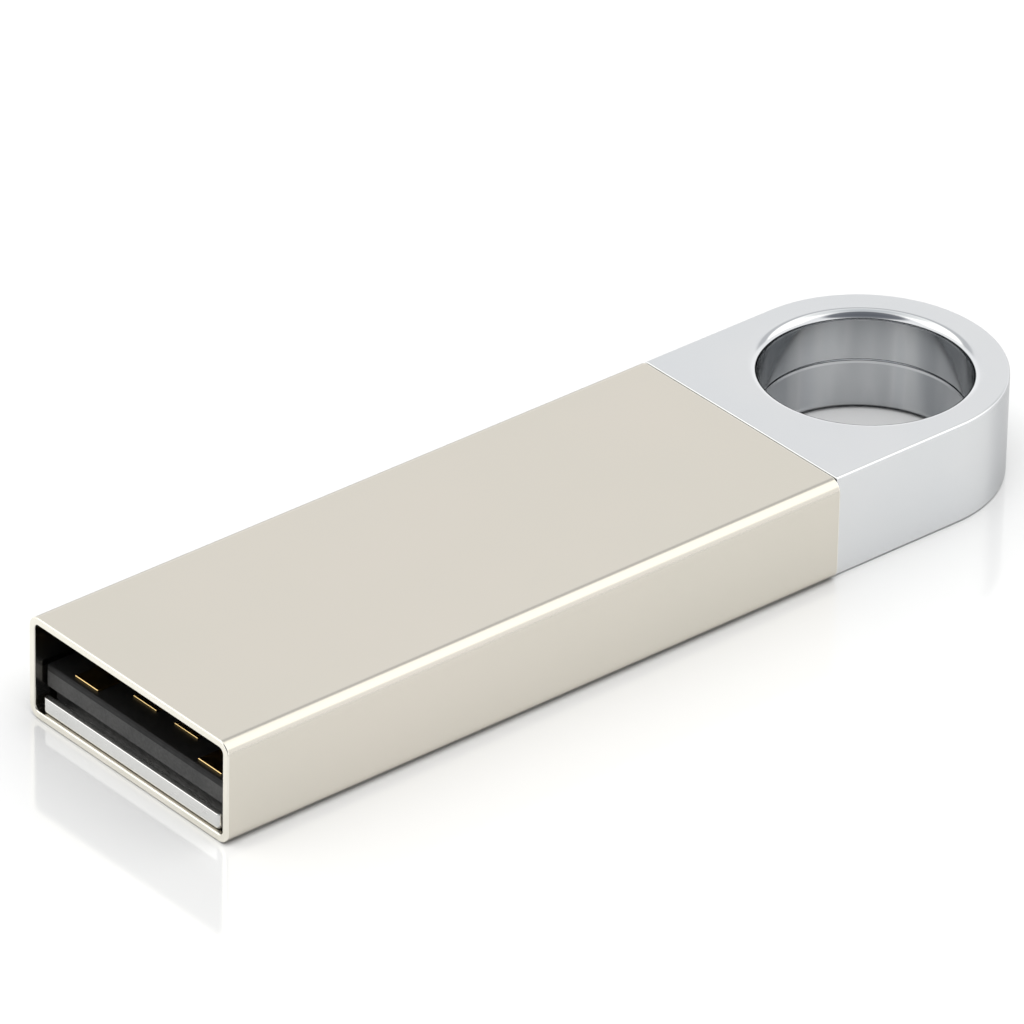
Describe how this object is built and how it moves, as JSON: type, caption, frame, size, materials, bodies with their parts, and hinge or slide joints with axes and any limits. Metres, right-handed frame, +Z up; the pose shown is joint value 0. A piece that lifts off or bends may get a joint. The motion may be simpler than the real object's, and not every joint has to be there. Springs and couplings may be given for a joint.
{
  "type": "usb flash drive",
  "caption": "Slim metal USB flash drive: a flat rectangular sleeve that is its own plug shell, with gold contacts on a black tongue inside and a round keyring hole in the cast tail.",
  "frame": {"origin": "middle of the bounding box's underside, on the surface that the drive lies on", "axes": "+X runs along the drive from the plug mouth to the tail ring, +Y across it, +Z up from the flat underside, with the contacts facing +Z"},
  "size_m": [0.0428, 0.012, 0.0045],
  "materials": {
    "champagne_steel": "satin champagne-nickel finish on drawn steel, polished edges",
    "satin_chrome": "satin chrome plating on a zinc casting, hole polished bright",
    "stainless_strip": "bright rolled stainless strip",
    "carrier_plastic": "black moulded thermoplastic",
    "clamp_plastic": "black moulded thermoplastic, fine texture",
    "adhesive_epoxy": "cured amber epoxy",
    "adhesive_tape": "thin black double-sided film",
    "board_laminate": "laminate under black solder mask",
    "mould_epoxy": "black mould compound, fine matte texture",
    "contact_gold": "gold plating over nickel on copper",
    "silicon": "thinned polished silicon",
    "die_film": "translucent die-attach film",
    "bond_gold": "drawn gold wire",
    "crystal_can": "nickel lid over a ceramic base",
    "capacitor_ceramic": "brown ceramic chip",
    "resistor_ceramic": "black glass over a ceramic chip",
    "ferrite": "sintered ferrite chip"
  },
  "bodies": {
    "root": {"sleeve": "champagne_steel", "tail_ring": "satin_chrome", "tail_adhesive": "adhesive_epoxy", "plug_tray": "stainless_strip", "tongue_carrier": "carrier_plastic", "module_clamp": "clamp_plastic", "module_tape": "adhesive_tape", "substrate_board": "board_laminate", "mould_compound": "mould_epoxy", "contact_ground": "contact_gold", "contact_data_plus": "contact_gold", "contact_data_minus": "contact_gold", "contact_vbus": "contact_gold", "controller_die": "silicon", "controller_die_film": "die_film", "flash_die_1": "silicon", "flash_die_film_1": "die_film", "flash_die_2": "silicon", "flash_die_film_2": "die_film", "controller_bond_wires": "bond_gold", "flash_bond_wires": "bond_gold", "crystal": "crystal_can", "capacitors": "capacitor_ceramic", "resistors": "resistor_ceramic", "ferrite_bead": "ferrite"}
  },
  "joints": []
}
